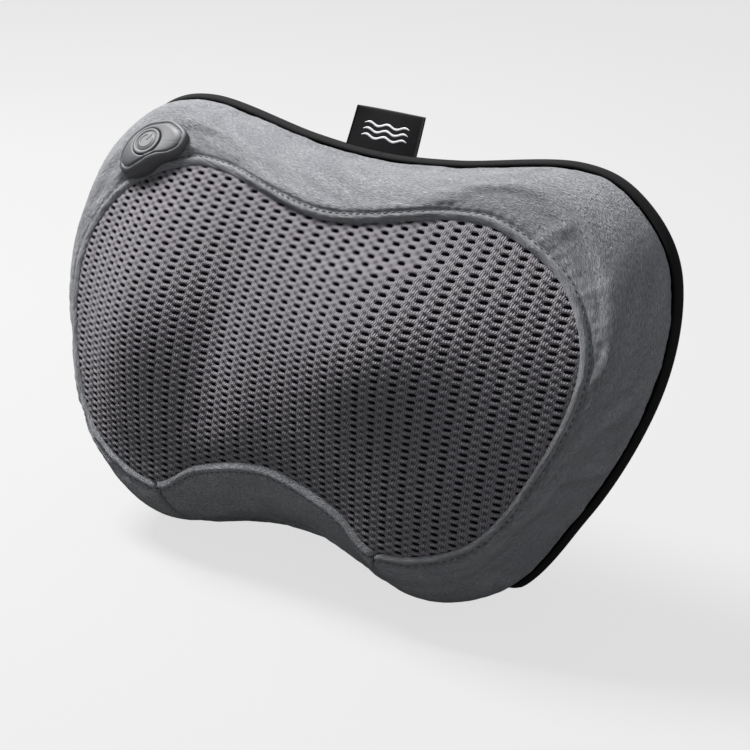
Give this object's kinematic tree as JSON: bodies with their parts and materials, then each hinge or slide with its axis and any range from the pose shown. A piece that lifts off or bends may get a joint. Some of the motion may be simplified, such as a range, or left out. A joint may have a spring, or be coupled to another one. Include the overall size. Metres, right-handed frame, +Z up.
{
  "type": "shiatsu neck massager",
  "caption": "Bean-shaped plush massage pillow with a domed mesh front, two geared rotors of massage nodes, a rubber power button and a zipped back.",
  "frame": {"origin": "on the surface that the pillow stands on, under the middle of its bounding box", "axes": "+Z up, +X along the pillow to the right of someone facing its mesh, -Y out of the mesh front"},
  "size_m": [0.3334, 0.1238, 0.2195],
  "materials": {
    "plush": "short-pile grey velour",
    "spacer_mesh": "knitted spacer mesh with oval holes",
    "black_fabric": "matt black woven polyester",
    "woven_label": "black satin-woven label",
    "zip_fabric": "woven zip tape",
    "zip_plastic": "moulded zip coil",
    "foam": "open-cell foam",
    "housing_plastic": "lightly textured moulding",
    "gear_plastic": "natural acetal",
    "node_plastic": "smooth moulded ball",
    "socket_plastic": "moulded socket",
    "steel": "turned steel",
    "motor_steel": "plated motor can",
    "brass": "turned brass",
    "reflector": "bright spun cup",
    "lamp_lens": "red infrared lens",
    "circuit_board": "green solder mask",
    "cell_sleeve": "shrink sleeve",
    "patch_rubber": "matt moulded rubber"
  },
  "bodies": {
    "pillow": {"front_cover": "plush", "arch_panel": "plush", "mesh_panel": "spacer_mesh", "inner_liner": "black_fabric", "side_gusset": "black_fabric", "back_panel": "black_fabric", "label_tag": "woven_label", "zip_tape": "zip_fabric", "zip_teeth": "zip_plastic", "foam_body": "foam", "rear_housing": "housing_plastic", "front_housing": "housing_plastic", "housing_screw_1": "steel", "housing_screw_2": "steel", "housing_screw_3": "steel", "housing_screw_4": "steel", "motor_can": "motor_steel", "worm_bush_left": "brass", "worm_bush_right": "brass", "shaft_bush_left": "brass", "shaft_bush_right": "brass", "front_bush_left": "brass", "front_bush_right": "brass", "heat_lamp_cup": "reflector", "heat_lamp_lens": "lamp_lens", "control_board": "circuit_board", "battery_cell_left": "cell_sleeve", "battery_cell_right": "cell_sleeve", "charging_socket": "socket_plastic", "socket_pin": "steel", "button_patch": "patch_rubber", "tact_switch": "socket_plastic"},
    "left_rotor": {"output_shaft_left": "steel", "worm_wheel_left": "gear_plastic", "rotor_arm_left": "gear_plastic", "rotor_cap_left": "housing_plastic", "node_pin_outer_left": "steel", "node_pin_inner_left": "steel"},
    "right_rotor": {"output_shaft_right": "steel", "worm_wheel_right": "gear_plastic", "rotor_arm_right": "gear_plastic", "rotor_cap_right": "housing_plastic", "node_pin_outer_right": "steel", "node_pin_inner_right": "steel"},
    "worm_shaft": {"motor_shaft": "steel", "worm_left": "brass", "worm_right": "brass"},
    "node_outer_left": {"massage_node_outer_left": "node_plastic"},
    "node_inner_left": {"massage_node_inner_left": "node_plastic"},
    "node_outer_right": {"massage_node_outer_right": "node_plastic"},
    "node_inner_right": {"massage_node_inner_right": "node_plastic"},
    "button": {"power_button": "patch_rubber"},
    "slider": {"zip_slider": "steel"},
    "pull_tab": {"zip_pull": "steel"}
  },
  "joints": [
    {"name": "left_rotor_spin", "type": "hinge", "parent": "pillow", "child": "left_rotor", "pos_m": [-0.056, 0.02364, 0.09819], "axis": [0, -0.9836, 0.1805], "continuous": true},
    {"name": "right_rotor_spin", "type": "hinge", "parent": "pillow", "child": "right_rotor", "pos_m": [0.056, 0.02364, 0.09819], "axis": [0, -0.9836, 0.1805], "continuous": true},
    {"name": "worm_spin", "type": "hinge", "parent": "pillow", "child": "worm_shaft", "pos_m": [0, 0.0185, 0.07016], "axis": [1, 0, 0], "continuous": true},
    {"name": "node_outer_left_spin", "type": "hinge", "parent": "left_rotor", "child": "node_outer_left", "pos_m": [-0.08057, -0.00964, 0.1218], "axis": [0, -0.9836, 0.1805], "continuous": true},
    {"name": "node_inner_left_spin", "type": "hinge", "parent": "left_rotor", "child": "node_inner_left", "pos_m": [-0.03143, -0.01586, 0.08795], "axis": [0, -0.9836, 0.1805], "continuous": true},
    {"name": "node_outer_right_spin", "type": "hinge", "parent": "right_rotor", "child": "node_outer_right", "pos_m": [0.08057, -0.00964, 0.1218], "axis": [0, -0.9836, 0.1805], "continuous": true},
    {"name": "node_inner_right_spin", "type": "hinge", "parent": "right_rotor", "child": "node_inner_right", "pos_m": [0.03143, -0.01586, 0.08795], "axis": [0, -0.9836, 0.1805], "continuous": true},
    {"name": "power_press", "type": "slide", "parent": "pillow", "child": "button", "axis": [0.1188, 0.6423, -0.7572], "range_m": [0, 0.0008], "stiffness_N_per_m": 600},
    {"name": "zip_slide", "type": "slide", "parent": "pillow", "child": "slider", "axis": [1, 0, 0], "range_m": [0, 0.13]},
    {"name": "pull_swing", "type": "hinge", "parent": "slider", "child": "pull_tab", "pos_m": [-0.066, 0.04135, 0.03902], "axis": [1, 0, 0], "range_deg": [-8, 70]}
  ],
  "couplings": [
    {"joint": "right_rotor_spin", "follows": "left_rotor_spin", "ratio": -1},
    {"joint": "worm_spin", "follows": "left_rotor_spin", "ratio": 30}
  ]
}
